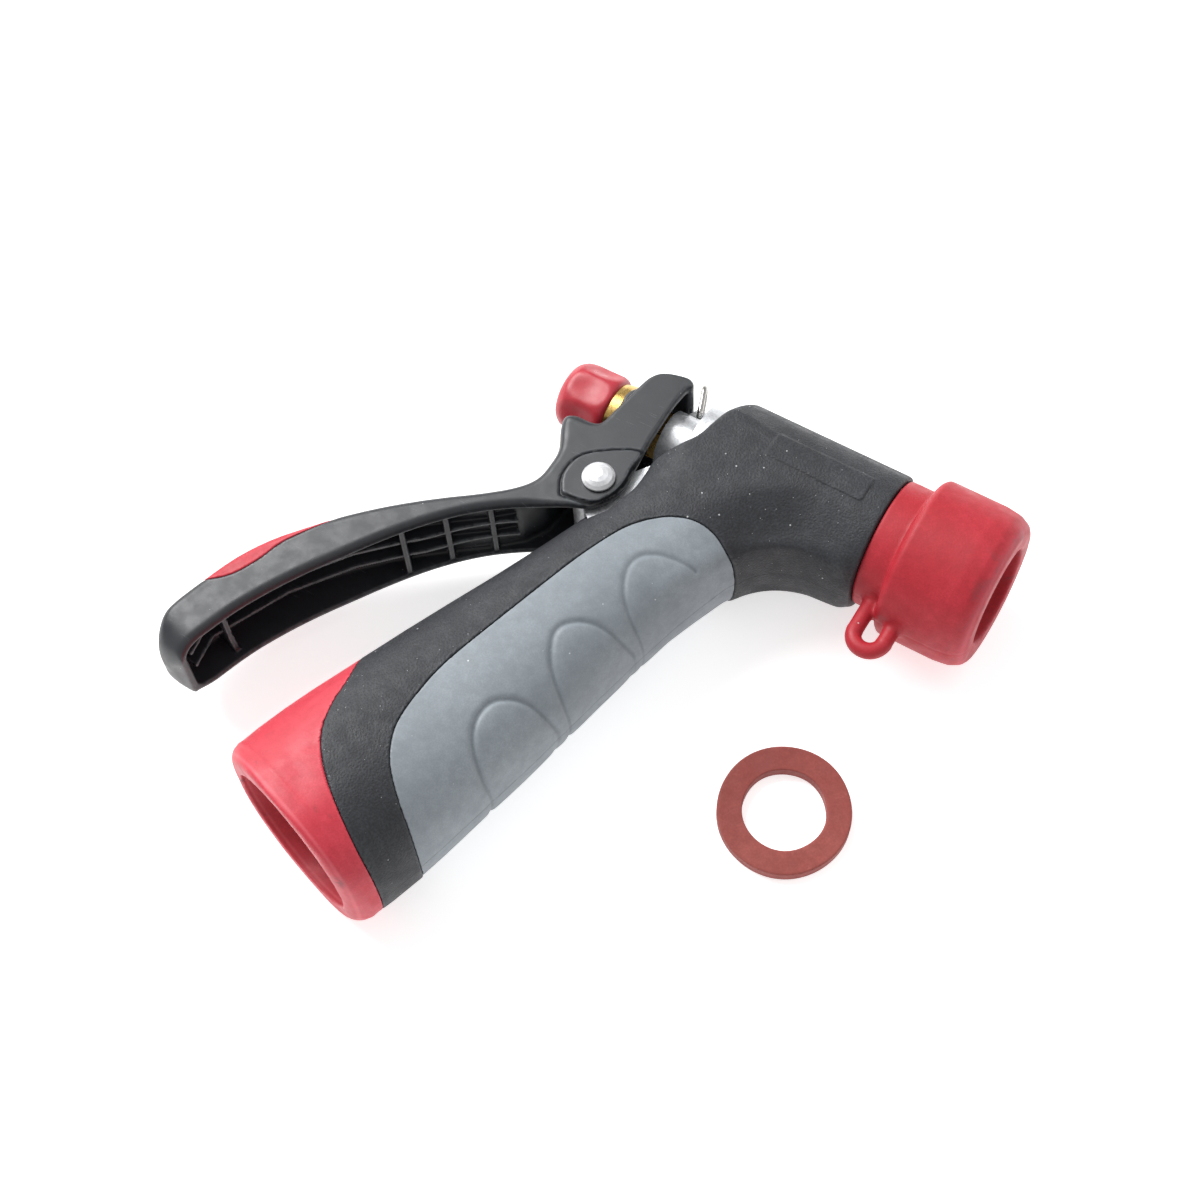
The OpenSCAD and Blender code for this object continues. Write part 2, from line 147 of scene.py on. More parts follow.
# ------------------------------------------------------------------ shapes
GRIP_PROF = np.array([(-4, 18.9), (0, 18.9), (2, 19.35), (8, 19.6), (14, 19.6), (20, 19.3), (30, 18.5), (40, 17.7), (50, 16.7),
                      (60, 15.6), (70, 14.7), (80, 14), (90, 13.8), (112, 13.4), (140, 13.2)])
GRIP_HALF = np.array([(-4, 17.75), (0, 17.78), (8, 17.68), (20, 16.98), (36, 15.88), (60, 14.38), (85, 13.48), (130, 13.38)])
PANEL_PTS = [(-26, -20), (-35.2, -22), (-40.9, -20.3), (-45.4, -20.4), (-50.3, -22.6), (-55.1, -27.5), (-58.5, -34.8), (-61.2, -42.9),
             (-64.8, -55.7), (-68.1, -68.5), (-69, -76.4), (-68.8, -83.6), (-66.8, -88.9), (-63.9, -92.7), (-58.5, -97.3), (-49.3, -103),
             (-30, -106), (-10, -60), (-16, -24)]
CAP_PTS = [(-104, -60), (-92, -66), (-87.3, -69.5), (-84.5, -74), (-82.3, -80), (-81.2, -86), (-79.4, -91.4), (-76.3, -95.9),
           (-71, -100.7), (-63, -106), (-56, -109.3), (-40, -117), (-60, -135), (-130, -110)]
LUG_PTS = [(-63.4, -15.4), (-58, -8), (-48, -6), (-50, -34), (-60, -31), (-66.6, -25.3), (-71, -22.6), (-69, -16)]
ROOM_PTS = [(-78, -38), (-66.6, -30), (-61.2, -25.4), (-59.4, -18.4), (-60, -8), (-60.4, 16), (-78, 16)]
LEVER_PTS = [
    (-113.5, -90.4), (-117.5, -90.9), (-119.8, -90), (-121.3, -86.6), (-121.6, -82.5), (-119.6, -75.3),
    (-117, -67.8), (-113.5, -61.4), (-109.2, -55.8), (-104.8, -50.6), (-100, -45.7), (-95, -41.2),
    (-89.8, -37), (-84.5, -33), (-79.5, -28.6), (-77, -24.9), (-76.6, -20.6), (-77, -17.2),
    (-79.2, -12.9), (-79.8, -10.2), (-77.6, -8.9), (-74.3, -8.9), (-72.7, -8), (-71.9, -3.7),
    (-70.7, 2.5), (-69.8, 5.6), (-67.8, 7.7), (-63.5, 8.9), (-61.7, 8.3), (-61.4, 7.2), (-62, 6.5),
    (-62.5, 2.3), (-62.5, -2.2), (-62.3, -7.2), (-62, -11), (-61.6, -15), (-61.2, -18.4), (-62.2, -22.1),
    (-64.8, -25.5), (-69.4, -27.8), (-77, -32.4), (-82.4, -36.4), (-87.2, -41), (-91.7, -46.3),
    (-95.8, -52), (-99.7, -58), (-103.5, -64), (-107, -70.3), (-110.2, -77.2), (-112.7, -84.6), (-113.8, -88.6)]
HOLLOW_PTS = [
    (-110.6, -89.6), (-118.4, -87.4), (-119.3, -84.5), (-119.5, -82), (-117.6, -75.8), (-115, -68.6), (-111.8, -62.6),
    (-107.6, -57), (-103.3, -52), (-98.6, -47.2), (-93.7, -42.8), (-88.5, -38.6), (-83.2, -34.6),
    (-78, -30), (-75.2, -25.5), (-74.6, -20.6), (-74.8, -12), (-72, -10.9), (-70.2, -9), (-69.9, -4),
    (-68.7, 2), (-68, 4.6), (-66.6, 6.4), (-63.5, 6.9), (-56, 6.6), (-56, -24), (-64, -34), (-78, -42),
    (-88, -54), (-98, -70), (-106, -86)]
PAD_PTS = [(-126, -78.6), (-119, -75), (-115.1, -71.5), (-112.5, -66.1), (-110.7, -60.7), (-105.2, -51.3), (-104.2, -46), (-112, -46), (-126, -66)]
BOSS_PTS = [(-70.8, -26), (-72.6, -22.5), (-72.3, -18), (-69.3, -14.6), (-62.6, -10.8), (-62.1, -15), (-61.8, -18.4), (-62.6, -22), (-65, -25)]

barrel_prof = Flat([(-64, -20), (-64, 6.6), (-61, 10.2), (-58, 12.3), (-55, 13.1), (-52.5, 13.4), (-15.5, 13.4), (-15.5, -20)], 0.35)
crook = Flat([(-50, -4), (-18, -4), (-18, -12.6), (-24, -13.6), (-38, -22), (-44, -33)], 0.5)
panel_zone = Flat(catmull(PANEL_PTS + PANEL_PTS[:1], 4), 0.25)
cap_zone = Flat(catmull(CAP_PTS + CAP_PTS[:1], 4), 0.25)
lug_zone = Flat(LUG_PTS, 0.2)
room_zone = Flat(ROOM_PTS, 0.3)


def handle_st(x, y):
    s = -((x - INLET[0]) * DX + (y - INLET[1]) * DY)
    t = (x - INLET[0]) * PX + (y - INLET[1]) * PY
    return s, t


def grip_outer(x, y, z):
    s, t = handle_st(x, y)
    a = np.interp(s, GRIP_PROF[:, 0], GRIP_PROF[:, 1]).astype(F4)
    b = np.interp(s, GRIP_HALF[:, 0], GRIP_HALF[:, 1]).astype(F4)
    n = 2.25
    g = ((np.abs(t) / a) ** n + (np.abs(z) / b) ** n + 1e-9) ** (1 / n)
    r = np.sqrt(t * t + z * z) + 1e-6
    h = (g - 1) * r / np.maximum(g, 1e-3)
    h = smax(h, -s, 0.9 + 3.6 * (t * t / (t * t + z * z + 1e-3)) ** 1.5)
    h = smax(h, s - 112, 6)
    rr = np.sqrt(y * y + z * z)
    bl = barrel_prof(x, rr)
    f = smin(h, bl, 8.0)
    # the barrel's rear end is cut on a slant
    cut = smin((x + 53.1) * -0.973 + (y + 1.2) * 0.233, (x + 53.8) * -0.721 + (y + 4.0) * 0.693, 1.0)
    f = smax(f, cut - np.maximum(0, -12.5 - y) * 0.8, 1.5)
    ring = 16.0 - np.sqrt((x + 22.4) ** 2 + (y + 29.2) ** 2)
    web = smax(smax(crook(x, y), np.abs(z) - 8.6, 4), ring, 0.8)
    f = smin(f, web, 5.0)
    f = smax(f, np.abs(z) - (b + 0.04), 0.5)
    f = smax(f, x + 15.5, 0.4)
    return f


def core_space(x, y, z):
    s, t = handle_st(x, y)
    r = np.sqrt(t * t + z * z)
    rr = np.sqrt(y * y + z * z)
    tube = np.maximum(r - 11.5, np.maximum(s - 112, 19 - s))
    sock = np.maximum(r - 16.6, np.maximum(s - 20.4, 2 - s))
    mouth = np.maximum(smax(r - 14.8, s - 3.2, 0.1), -s - 3)
    core = np.maximum(rr - 10.5, np.maximum(x + 14.5, -56 - x))
    neck = np.maximum(rr - 6, np.maximum(x + 50, -66 - x))
    lug = np.maximum(lug_zone(x, y), np.abs(z) - 7.2)
    lug2 = np.maximum(np.sqrt((x - PIVOT[0]) ** 2 + (y - PIVOT[1]) ** 2) - 5.4, np.abs(z) - 7.2)
    f = np.minimum(np.minimum(np.minimum(tube, sock), np.minimum(mouth, core)), np.minimum(neck, np.minimum(lug, lug2)))
    return f


def lever_room(x, y, z):
    return np.maximum(room_zone(x, y), np.maximum(7.3 - np.abs(z), np.abs(z) - 15))


# raised blank plate on the barrel's side
PLATE = [(-40.6, -1.6), (-20.4, -1.6), (-20.4, 4.2), (-40.6, 4.2)]
plate_zone = Flat(PLATE, 0.25)


def overmould(x, y, z):
    g = grip_outer(x, y, z)
    zones = np.minimum(panel_zone(x, y), cap_zone(x, y))
    skin = smax(g, 0.02 - zones, 0.22)
    lab = plate_zone(x, y)
    skin = skin - np.where(z > 0, 0.22 * (1 - sstep(-0.15, 0.3, lab)), 0).astype(F4)
    f = np.minimum(skin, g + 1.84)
    s, t = handle_st(x, y)
    core = np.where(s < 60, np.maximum(core_space(x, y, z), g + 0.7), core_space(x, y, z))
    f = smax(f, -core, 0.15)
    return smax(f, -lever_room(x, y, z), 0.8)


# finger arches moulded into the side of the soft panel
ARCH_1 = [(-50.9, -82.9), (-52.8, -82.5), (-55.4, -80.4), (-57.3, -77.5), (-58.0, -74.1), (-57.3, -71.0), (-55.3, -68.8),
          (-52.8, -67.4), (-50.1, -66.8), (-47.9, -66.3), (-46.6, -65.4)]
ARCH_2 = [(-46.3, -63.2), (-47.9, -62.7), (-50.2, -61.3), (-52.4, -59.2), (-54.2, -56.3), (-55.1, -53.5), (-54.5, -51.2),
          (-52.6, -49.2), (-50.2, -47.9), (-47.2, -47.2), (-44.6, -46.8), (-43.2, -46.0)]
ARCH_3 = [(-42.7, -43.9), (-44.5, -43.4), (-46.8, -42.1), (-48.9, -39.8), (-50.3, -36.9), (-50.7, -34.3), (-50.0, -32.0),
          (-48.1, -30.2), (-45.8, -29.1), (-43.0, -28.3), (-40.6, -27.9)]
arch_flats = [Flat(catmull(a, 4), 0.0, margin=5, open_line=True) for a in (ARCH_1, ARCH_2, ARCH_3)]
arch_inside = [Flat(catmull(a, 4), 1.4, margin=5) for a in (ARCH_1, ARCH_2, ARCH_3)]


def arch_depth(x, y, z):
    d = np.zeros(x.shape, F4)
    fade = 0.22 + 0.78 * sstep(1.0, 8.0, np.abs(z))
    for fl, w in zip(arch_flats, (0.42, 0.38, 0.26)):
        q = fl(x, y)
        d = np.maximum(d, w * fade * np.exp(-((q / 0.60) ** 2)))
    for fl in arch_inside:
        d = d - 0.20 * (1 - sstep(-2.4, 0.4, fl(x, y))) * (1 - sstep(0.0, 0.3, d))
    return d + 0.20


def panel(x, y, z):
    g = grip_outer(x, y, z)
    f = g + arch_depth(x, y, z)
    f = smax(f, panel_zone(x, y) + 0.02, 0.22)
    return smax(f, -(g + 1.8), 0.1)


def cap(x, y, z):
    g = grip_outer(x, y, z)
    s, t = handle_st(x, y)
    r = np.sqrt(t * t + z * z)
    # thin raised lip round the rim
    lip = 0.10 * np.exp(-(((s - 3.4) / 0.5) ** 2))
    f = smax(g + 0.04 - lip, cap_zone(x, y) + 0.02, 0.22)
    inner = np.maximum(g + 1.8, 24 - s)
    f = smax(f, -inner, 0.1)
    f = smax(f, -np.maximum(r - 16.6, np.maximum(s - 30, 4.7 - s)), 0.1)
    f = smax(f, -np.maximum(r - (14.8 - 0.10 * np.clip(s - 1, 0, 4)), np.maximum(s - 6, -s - 5)), 0.45)
    # moulding nub on the rim
    nub = np.sqrt((s - 0.75) ** 2 + (t + 15.6) ** 2 + (z + 2.5) ** 2) - 0.5
    return smin(f, nub, 0.3)


bumper_prof = Flat([(-15.5, 10.5), (-15.5, 12.8), (-9.9, 12.8), (-9.5, 15.1), (-8.6, 16), (3, 16), (6, 15.6), (8, 14.6),
                    (8.8, 13.4), (8.8, 9.75), (2, 9.75), (2, 10.5)], 0.3)


def capsule(x, y, z, a, b, r):
    e = np.array(b, float) - np.array(a, float)
    wx, wy, wz = x - a[0], y - a[1], z - a[2]
    t = np.clip((wx * e[0] + wy * e[1] + wz * e[2]) / float(e @ e), 0, 1)
    return np.sqrt((wx - e[0] * t) ** 2 + (wy - e[1] * t) ** 2 + (wz - e[2] * t) ** 2) - r


def bumper(x, y, z):
    rr = np.sqrt(y * y + z * z)
    f = bumper_prof(x, rr)
    # faint moulding flats: a seam round the mid-plane
    f = f + 0.06 * np.exp(-((z / 0.35) ** 2)) * (rr > 12)
    loop = smin(capsule(x, y, z, (-11.2, -11, 0), (-11.2, -19.4, 0), 1.58), capsule(x, y, z, (-5.2, -13, 0), (-5.2, -19.4, 0), 1.58), 0.6)
    q = np.sqrt((x + 8.2) ** 2 + (y + 19.4) ** 2) - 3.0
    tor = np.sqrt(q * q + z * z) - 1.58
    tor = np.maximum(tor, y + 19.3)
    loop = smin(loop, tor, 0.25)
    loop = np.maximum(loop, 12.2 - rr)
    f = smin(f, loop, 1.3)
    return np.maximum(f, 9.75 - rr)


lever_side = Flat(catmull(LEVER_PTS + LEVER_PTS[:1], 3), 0.3)
lever_hollow = Flat(HOLLOW_PTS, 0.45)
pad_zone = Flat(catmull(PAD_PTS + PAD_PTS[:1], 3), 0.3)
boss_zone = Flat(catmull(BOSS_PTS + BOSS_PTS[:1], 3), 0.2)
LONG_RIB = [(-121, -86), (-119, -74), (-112, -61), (-104, -51), (-96, -43), (-80, -30), (-77, -32), (-93, -46),
            (-101, -54), (-109, -65), (-116, -80), (-115, -87)]
long_rib = Flat(LONG_RIB, 0.2)
CROSS = [(-117.9, -76.8, 73.8), (-96, -44.7, 43), (-89.2, -39.1, 39.5), (-82.2, -33.8, 38)]


TIP_C, TIP_S = math.cos(math.radians(74.9)), math.sin(math.radians(74.9))


def tip_width(x, y, half, r):
    """Half width of the lever, rounded off towards its tip."""
    u = (x + 117.6) * TIP_C + (y + 91.2) * TIP_S
    q = np.clip(7.5 - u, 0, r - 0.02)
    return half - r + np.sqrt(r * r - q * q)


def lever_outer(x, y, z):
    f = smax(lever_side(x, y), (np.abs(z) - tip_width(x, y, 9.75, 7.5)) * 0.85, 1.9 - 1.1 * sstep(-77.0, -69.0, x))
    return f


def pad_cut(x, y, z):
    o = lever_outer(x, y, z)
    return o, smax(pad_zone(x, y), -(o + 0.95), 0.3)


def lever(x, y, z):
    o, cut = pad_cut(x, y, z)
    az = np.abs(z)
    hol = smax(lever_hollow(x, y), az - tip_width(x, y, 7.75, 5.5), 1.2)
    f = smax(o, -hol, 0.8)
    boss = smax(boss_zone(x, y), smax(az - 10.28, 9.5 - az, 0.1), 0.45)
    f = np.minimum(f, boss)
    f = f + np.where(az > 9.2, 0.3 * np.exp(-(((boss_zone(x, y) - 0.25) / 0.28) ** 2)), 0).astype(F4) * (az < 10.0)
    pads = smax(np.sqrt((x + 68.6) ** 2 + y * y) - 3.9, np.maximum(az - 7.9, 3.6 - az), 0.5)
    f = np.minimum(f, pads)
    ribs = np.full(x.shape, 1e3, F4)
    for cx, cy, ang in CROSS:
        c, s_ = math.cos(math.radians(ang)), math.sin(math.radians(ang))
        u = (x - cx) * c + (y - cy) * s_
        v = -(x - cx) * s_ + (y - cy) * c
        # the rib's free edge dips between the flanges
        top = 5.4 - 1.1 * (1 - (z / 8.0) ** 2)
        ribs = np.minimum(ribs, np.maximum(np.maximum(np.abs(u) - 0.55, np.maximum(v - 0.6, -v - top)), az - 8))
    lr = np.maximum(long_rib(x, y), np.minimum(np.abs(z + 2.35) - 0.45, np.abs(z - 2.45) - 0.45))
    ribs = np.minimum(ribs, lr)
    ribs = smax(ribs, lever_side(x, y) + 0.6, 0.3)
    f = smin(f, ribs, 0.5)
    f = smax(f, -(cut - 0.05), 0.3)
    slot = np.maximum(np.maximum(np.abs(x + 71) - 7, np.abs(y + 0.3) - 4.3), az - 3.4)
    f = smax(f, -slot, 0.5)
    pin = np.sqrt((x - PIVOT[0]) ** 2 + (y - PIVOT[1]) ** 2) - 2.3
    return np.maximum(f, -pin)


def lever_pad(x, y, z):
    o, cut = pad_cut(x, y, z)
    hol = smax(lever_hollow(x, y), np.abs(z) - 7.75, 0.9)
    f = smax(smax(o, cut, 0.35), -(hol - 0.1), 0.2)
    # the key of the soft pad that shows through the back of the lever
    key = smax(np.sqrt((x + 115.2) ** 2 + (y + 70.2) ** 2) - 2.6, np.abs(z - 3.9) - 1.5, 0.6)
    key = smax(key, o + 0.3, 0.1)
    return np.minimum(f, key)


knob_prof = Flat([(-86, -12), (-86, 4.6), (-85.3, 6.0), (-83.8, 7.0), (-81.6, 7.3), (-76.4, 7.3), (-75.4, 7.1), (-74.8, 6.6), (-74.8, -12)], 0.42, step=0.1)


def knob(x, y, z):
    rr = np.sqrt(y * y + z * z)
    f = smax(knob_prof(x, rr), -85.95 - x, 0.3)
    for i in range(7):
        a = math.radians(360 / 7 * i + 12)
        cy, cz = -12.7 * math.sin(a), 12.7 * math.cos(a)
        sp = np.sqrt(((x + 80.2) * 0.8) ** 2 + (y - cy) ** 2 + (z - cz) ** 2) - 6.1
        f = smax(f, -sp, 1.2)
    f = smax(f, -np.maximum(rr - 4.4, -83.4 - x), 0.2)
    f = np.minimum(f, np.maximum(np.maximum(rr - 4.4, x + 83.4), -85.9 - x))
    f = smax(f, -np.maximum(rr - 2.9, np.maximum(-84.7 - x, x + 83)), 0.1)
    # gate mark in the middle of the end
    dim = np.sqrt((x + 87.6) ** 2 + rr * rr) - 2.3
    return smax(f, -dim, 0.3)


def insert(x, y, z):
    s, t = handle_st(x, y)
    r = np.sqrt(t * t + z * z)
    th = np.arctan2(z, t)
    ph = (s - 3.2) / 2.209 - th / (2 * math.pi)
    tri = np.abs((ph % 1.0) - 0.5) * 2
    thread = 13.2 + 0.75 * (sstep(0.12, 0.88, tri) - 0.42)
    wall = np.where((s > 3.6) & (s < 14.9), thread, np.where(s <= 3.6, 13.4, 13.2))
    bore = np.where(s > 15.2, 9.0, wall)
    f = np.maximum(np.maximum(r - 15.2, s - 17.2), 4.75 - s)
    return np.maximum(f, (bore - r) * 0.8)


CLIP_AT, CLIP_LEAN = (-59.6, 6.9), math.radians(21)


def clip(x, y, z):
    c, s_ = math.cos(CLIP_LEAN), math.sin(CLIP_LEAN)
    u = (x - CLIP_AT[0]) * c + (y - CLIP_AT[1]) * s_
    v = -(x - CLIP_AT[0]) * s_ + (y - CLIP_AT[1]) * c
    R = 0.58
    f = capsule(u, v, z, (0, 0, -1.7), (0, 0, 1.7), R)
    for m in (-1, 1):
        f = smin(f, capsule(u, v, z, (0, 0.35, 2.1 * m), (0, 5.2, 2.1 * m), R), 0.25)
    q = np.sqrt((v - 5.2) ** 2 + z * z) - 2.1
    tor = np.maximum(np.sqrt(q * q + u * u) - R, 5.2 - v)
    return np.minimum(f, tor)


# ------------------------------------------------------------------ mesher
def surface(f, lo, hi, h):
    """Surface nets on the zero level of f. Returns vertices and quads."""
    lo = np.array(lo, float)
    n = (np.ceil((np.array(hi) - lo) / h / 4).astype(int)) * 4
    nx, ny, nz = n
    cx, cy, cz = [lo[i] + h * (4 * np.arange(n[i] // 4) + 1.5) for i in range(3)]
    CX, CY, CZ = np.meshgrid(cx, cy, cz, indexing="ij")
    C = f(CX.ravel().astype(F4), CY.ravel().astype(F4), CZ.ravel().astype(F4)).reshape(CX.shape)
    near = np.abs(C) < 7.0 * h
    V = np.repeat(np.repeat(np.repeat(np.where(C > 0, 9, -9).astype(F4), 4, 0), 4, 1), 4, 2)
    M = np.repeat(np.repeat(np.repeat(near, 4, 0), 4, 1), 4, 2)
    I = np.argwhere(M)
    step = 600000
    for a in range(0, len(I), step):
        J = I[a:a + step]
        p = (lo + h * J).astype(F4)
        V[J[:, 0], J[:, 1], J[:, 2]] = f(p[:, 0], p[:, 1], p[:, 2])
    S = V > 0
    corners = [(i, j, k) for i in (0, 1) for j in (0, 1) for k in (0, 1)]
    cnt = np.zeros((nx - 1, ny - 1, nz - 1), np.int8)
    for i, j, k in corners:
        cnt += S[i:nx - 1 + i, j:ny - 1 + j, k:nz - 1 + k]
    A = np.argwhere((cnt > 0) & (cnt < 8))
    index = np.full(cnt.shape, -1, np.int32)
    index[A[:, 0], A[:, 1], A[:, 2]] = np.arange(len(A))
    vals = {c: V[A[:, 0] + c[0], A[:, 1] + c[1], A[:, 2] + c[2]] for c in corners}
    acc = np.zeros((len(A), 3))
    num = np.zeros(len(A))
    for c in corners:
        for ax in range(3):
            if c[ax] == 0:
                d = list(c)
                d[ax] = 1
                va, vb = vals[c], vals[tuple(d)]
                m = (va > 0) != (vb > 0)
                t = np.where(m, va / np.where(m, va - vb, 1), 0)
                pos = np.zeros((len(A), 3))
                pos[:] = c
                pos[:, ax] = t
                acc[m] += pos[m]
                num[m] += 1
    verts = lo + h * (A + acc / num[:, None])
    quads = []
    for ax in range(3):
        o = [a for a in range(3) if a != ax]
        sl0 = [slice(None)] * 3
        sl1 = [slice(None)] * 3
        sl0[ax], sl1[ax] = slice(0, -1), slice(1, None)
        X = np.argwhere(S[tuple(sl0)] != S[tuple(sl1)])
        X = X[(X[:, o[0]] > 0) & (X[:, o[1]] > 0) & (X[:, o[0]] < n[o[0]] - 1) & (X[:, o[1]] < n[o[1]] - 1)]
        s0 = S[X[:, 0], X[:, 1], X[:, 2]]
        q = []
        for da, db in ((-1, -1), (0, -1), (0, 0), (-1, 0)):
            Y = X.copy()
            Y[:, o[0]] += da
            Y[:, o[1]] += db
            q.append(index[Y[:, 0], Y[:, 1], Y[:, 2]])
        Q = np.stack(q, 1)
        flip = s0 if ax != 1 else ~s0
        Q[flip] = Q[flip][:, ::-1]
        quads.append(Q)
    Q = np.vstack(quads)
    Q = Q[(Q >= 0).all(1)]
    verts = verts.astype(F4)
    for _ in range(2):
        g, v0 = gradient(f, verts)
        gg = (g * g).sum(1)
        d = np.clip(v0 / np.maximum(gg, 0.05), -0.35 * h, 0.35 * h)
        verts = verts - g * d[:, None]
    g, _v = gradient(f, verts)
    nrm = g / np.maximum(np.linalg.norm(g, axis=1)[:, None], 1e-6)
    return verts, Q, nrm


def gradient(f, p, e=0.05):
    x, y, z = p[:, 0], p[:, 1], p[:, 2]
    g = np.stack([(f(x + e, y, z) - f(x - e, y, z)), (f(x, y + e, z) - f(x, y - e, z)), (f(x, y, z + e) - f(x, y, z - e))], 1) / (2 * e)
    return g, f(x, y, z)


def to_row(v):
    return (v @ ROT.T + LIE_AT) / 1000.0


def add_mesh(name, verts, faces, normals=None, attrs=None, row=False):
    co = verts / 1000.0 if row else to_row(np.asarray(verts, float))
    me = bpy.data.meshes.new(name)
    me.vertices.add(len(co))
    me.vertices.foreach_set("co", np.asarray(co, F4).ravel())
    k = faces.shape[1]
    me.loops.add(len(faces) * k)
    me.loops.foreach_set("vertex_index", faces.astype(np.int32).ravel())
    me.polygons.add(len(faces))
    me.polygons.foreach_set("loop_start", (np.arange(len(faces)) * k).astype(np.int32))
    me.update(calc_edges=True)
    me.validate()
    me.polygons.foreach_set("use_smooth", np.ones(len(me.polygons), bool))
    for key, val in (attrs or {}).items():
        at = me.attributes.new(key, "FLOAT", "POINT")
        at.data.foreach_set("value", np.asarray(val, F4))
    if normals is not None:
        nn = normals if row else normals @ ROT.T
        me.normals_split_custom_set_from_vertices(nn.astype(F4))
    ob = bpy.data.objects.new(name, me)
    bpy.context.scene.collection.objects.link(ob)
    return ob


# ---- build

PIECES = {}


def piece(name, f, lo, hi, h, attr=None):
    v, q, nr = surface(f, lo, hi, h)
    extra = {k: a(v[:, 0], v[:, 1], v[:, 2]) for k, a in (attr or {}).items()}
    ob = add_mesh(name, v, q, nr, extra)
    PIECES[name] = ob
    return ob


def arch_near(x, y, z):
    d = np.full(x.shape, 9.0, F4)
    for fl in arch_flats:
        d = np.minimum(d, fl(x, y))
    return d


def z_of(x, y, z):
    return z


FINE = 1.0
grip = piece("grip_rubber", overmould, (-114, -116, -19), (-14, 15, 19), 0.42 * FINE,
             {"zc": z_of, "lab": lambda x, y, z: np.where(z > 0, plate_zone(x, y), 9.0),
              "seam": lambda x, y, z: np.minimum(np.abs(panel_zone(x, y)), np.abs(cap_zone(x, y)))})
pan = piece("finger_panel_rubber", panel, (-72, -110, -18.5), (-24, -17, 18.5), 0.34 * FINE,
            {"zc": z_of, "arch": arch_near, "seam": lambda x, y, z: np.abs(panel_zone(x, y))})
capo = piece("inlet_cap_rubber", cap, (-108, -118, -19), (-54, -60, 19), 0.38 * FINE,
             {"zc": z_of, "rim": lambda x, y, z: handle_st(x, y)[0],
              "smudge": lambda x, y, z: np.sqrt((x + 63.1) ** 2 + (y + 112.3) ** 2 + (z - 9.2) ** 2)})
bump = piece("nose_bumper_rubber", bumper, (-17, -25, -17.5), (10, 17.5, 17.5), 0.34 * FINE,
             {"zc": z_of, "rad": lambda x, y, z: np.sqrt(y * y + z * z), "xs": lambda x, y, z: x})
lev = piece("lever_body", lever, (-124, -93, -11.2), (-58, 11, 11.2), 0.34 * FINE,
            {"boss": lambda x, y, z: np.where(np.abs(z) > 9, boss_zone(x, y), 9.0), "deep": lambda x, y, z: lever_hollow(x, y)})
padp = piece("lever_soft_pad", lever_pad, (-123, -81, -10.8), (-100, -43, 10.8), 0.3 * FINE, {})
knb = piece("flow_knob_body", knob, (-87.5, -8.6, -8.6), (-73, 8.6, 8.6), 0.2 * FINE, {})
ins = piece("inlet_thread", insert, (-102, -120, -16.5), (-54, -84, 16.5), 0.3 * FINE, {})
wire = piece("wire_clip_ring", clip, (-65, 4, -3.8), (-57, 16.2, 3.8), 0.14, {})


def washer_mesh():
    ri, ro, t = 7.95, 12.7, 3.2
    prof = []
    for cx, cy, a0, rad in ((ri + 0.32, 0.32, 180, 0.32), (ro - 0.42, 0.42, 270, 0.42), (ro - 0.42, t - 0.42, 0, 0.42), (ri + 0.32, t - 0.32, 90, 0.32)):
        for k in range(6):
            a = math.radians(a0 + 90 * k / 5)
            prof.append((cx + rad * math.cos(a), cy + rad * math.sin(a)))
    dense = []
    for i in range(len(prof)):
        a, b = np.array(prof[i]), np.array(prof[(i + 1) % len(prof)])
        m = max(1, int(np.linalg.norm(b - a) / 0.35))
        for k in range(m):
            dense.append(a + (b - a) * k / m)
    dense = np.array(dense)
    nseg, npf = 288, len(dense)
    th = np.arange(nseg) * 2 * math.pi / nseg
    rr = dense[:, 0][None, :]
    zz = np.repeat(dense[:, 1][None, :], nseg, 0).copy()
    # the cut faces are very slightly wavy
    wob = 0.05 * np.sin(3 * th + 0.7) + 0.03 * np.sin(7 * th + 2.1)
    top = np.clip((zz - 1.6) / 1.6, 0, 1)
    zz = zz - top * (0.08 + wob[:, None] * 0.8)
    rr = rr + 0.04 * np.sin(5 * th + 1.0)[:, None] - 0.04
    X = WASHER_AT[0] + rr * np.cos(th)[:, None]
    Y = WASHER_AT[1] + rr * np.sin(th)[:, None]
    V = np.stack([X, Y, zz], 2).reshape(-1, 3)
    i, j = np.meshgrid(np.arange(nseg), np.arange(npf), indexing="ij")
    a = i * npf + j
    b = ((i + 1) % nseg) * npf + j
    c = ((i + 1) % nseg) * npf + (j + 1) % npf
    d = i * npf + (j + 1) % npf
    Q = np.stack([a, b, c, d], 2).reshape(-1, 4)
    return add_mesh("hose_washer_ring", V, Q, row=True)


wsh = washer_mesh()

# ------------------------------------------------------------------ what each piece stands for
for ob, body, nodes, slot in (
        (grip, "body", ("grip_overmould",), "black_rubber"), (pan, "body", ("finger_panel",), "grey_rubber"),
        (capo, "body", ("inlet_cap",), "red_rubber"), (bump, "body", ("nose_bumper", "hang_loop"), "red_rubber"),
        (lev, "squeeze_lever", ("lever",), "black_plastic"), (padp, "squeeze_lever", ("lever_pad",), "red_pad"),
        (knb, "knob", ("flow_knob",), "red_plastic"), (ins, "body", ("inlet_insert",), "brass"),
        (wire, "wire_clip", ("hold_clip",), "wire_steel"), (wsh, "loose_washer", ("hose_washer",), "washer_rubber")):
    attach(ob, body)
    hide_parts(*nodes)

# ------------------------------------------------------------------ materials
def lin(r, g, b):
    return tuple((c / 255 / 12.92 if c / 255 <= 0.04045 else ((c / 255 + 0.055) / 1.055) ** 2.4) for c in (r, g, b)) + (1.0,)


